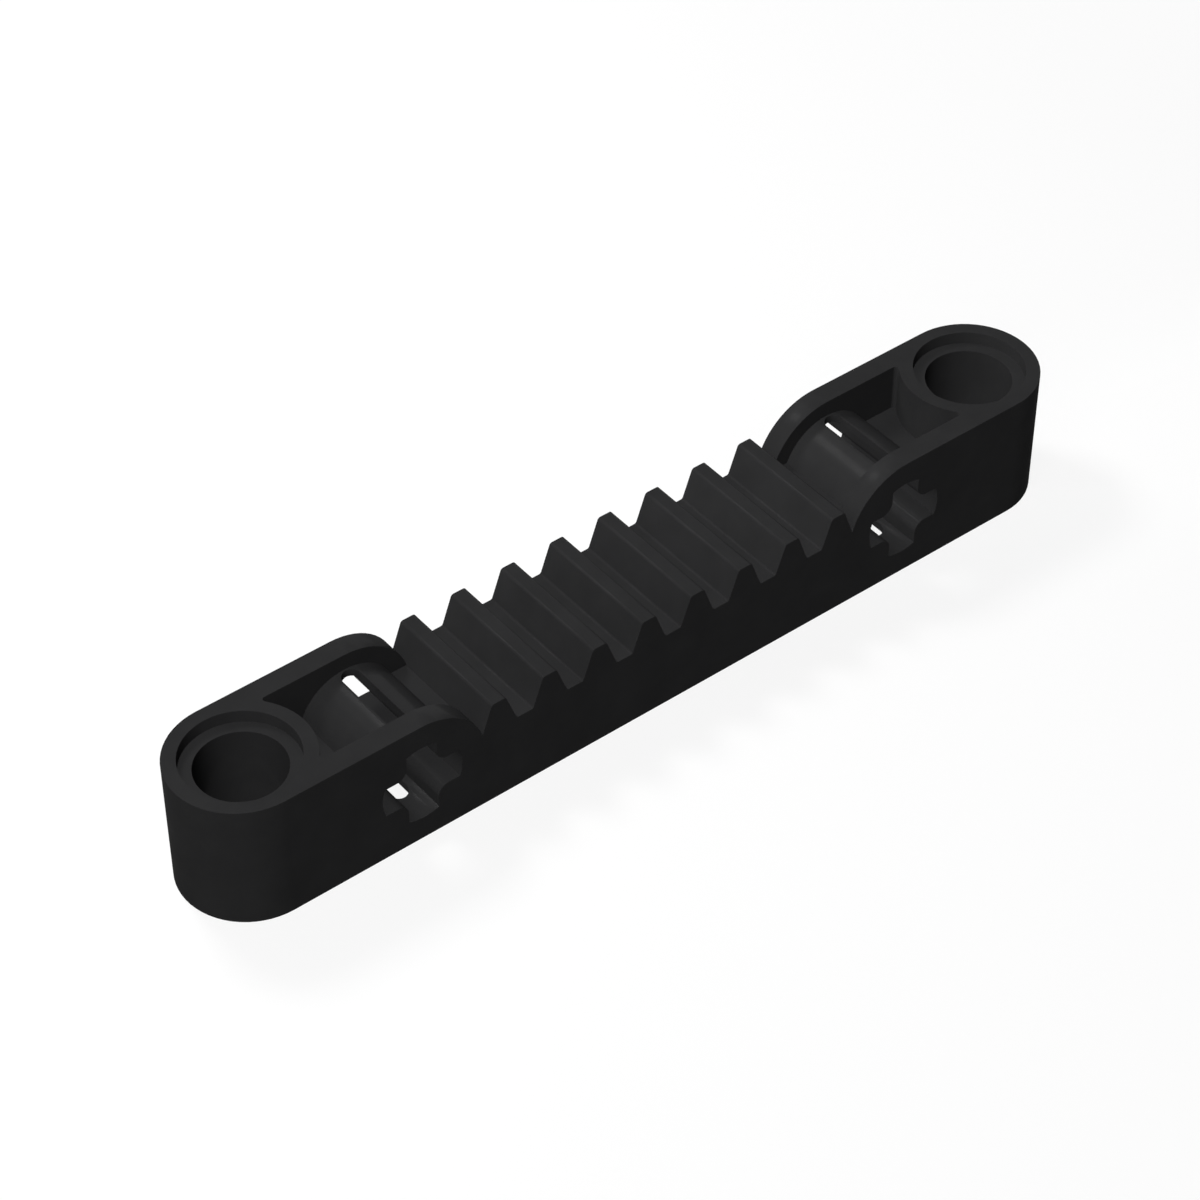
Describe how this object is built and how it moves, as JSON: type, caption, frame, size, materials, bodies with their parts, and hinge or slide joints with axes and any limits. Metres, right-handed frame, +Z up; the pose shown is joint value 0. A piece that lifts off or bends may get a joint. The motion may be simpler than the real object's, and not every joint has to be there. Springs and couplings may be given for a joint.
{
  "type": "gear rack",
  "caption": "Straight toothed rack moulded in one piece, with an upright pin bore and a cross-shaped axle hole in each hollow, round-nosed end block.",
  "frame": {"origin": "centre of the underside", "axes": "+X along the rack, +Y across the teeth, +Z up, towards the tooth crests"},
  "size_m": [0.0558, 0.0078, 0.0077],
  "materials": {
    "black_plastic": "moulded, satin to semi-gloss"
  },
  "bodies": {
    "root": {"gear_rack": "black_plastic"}
  },
  "joints": []
}
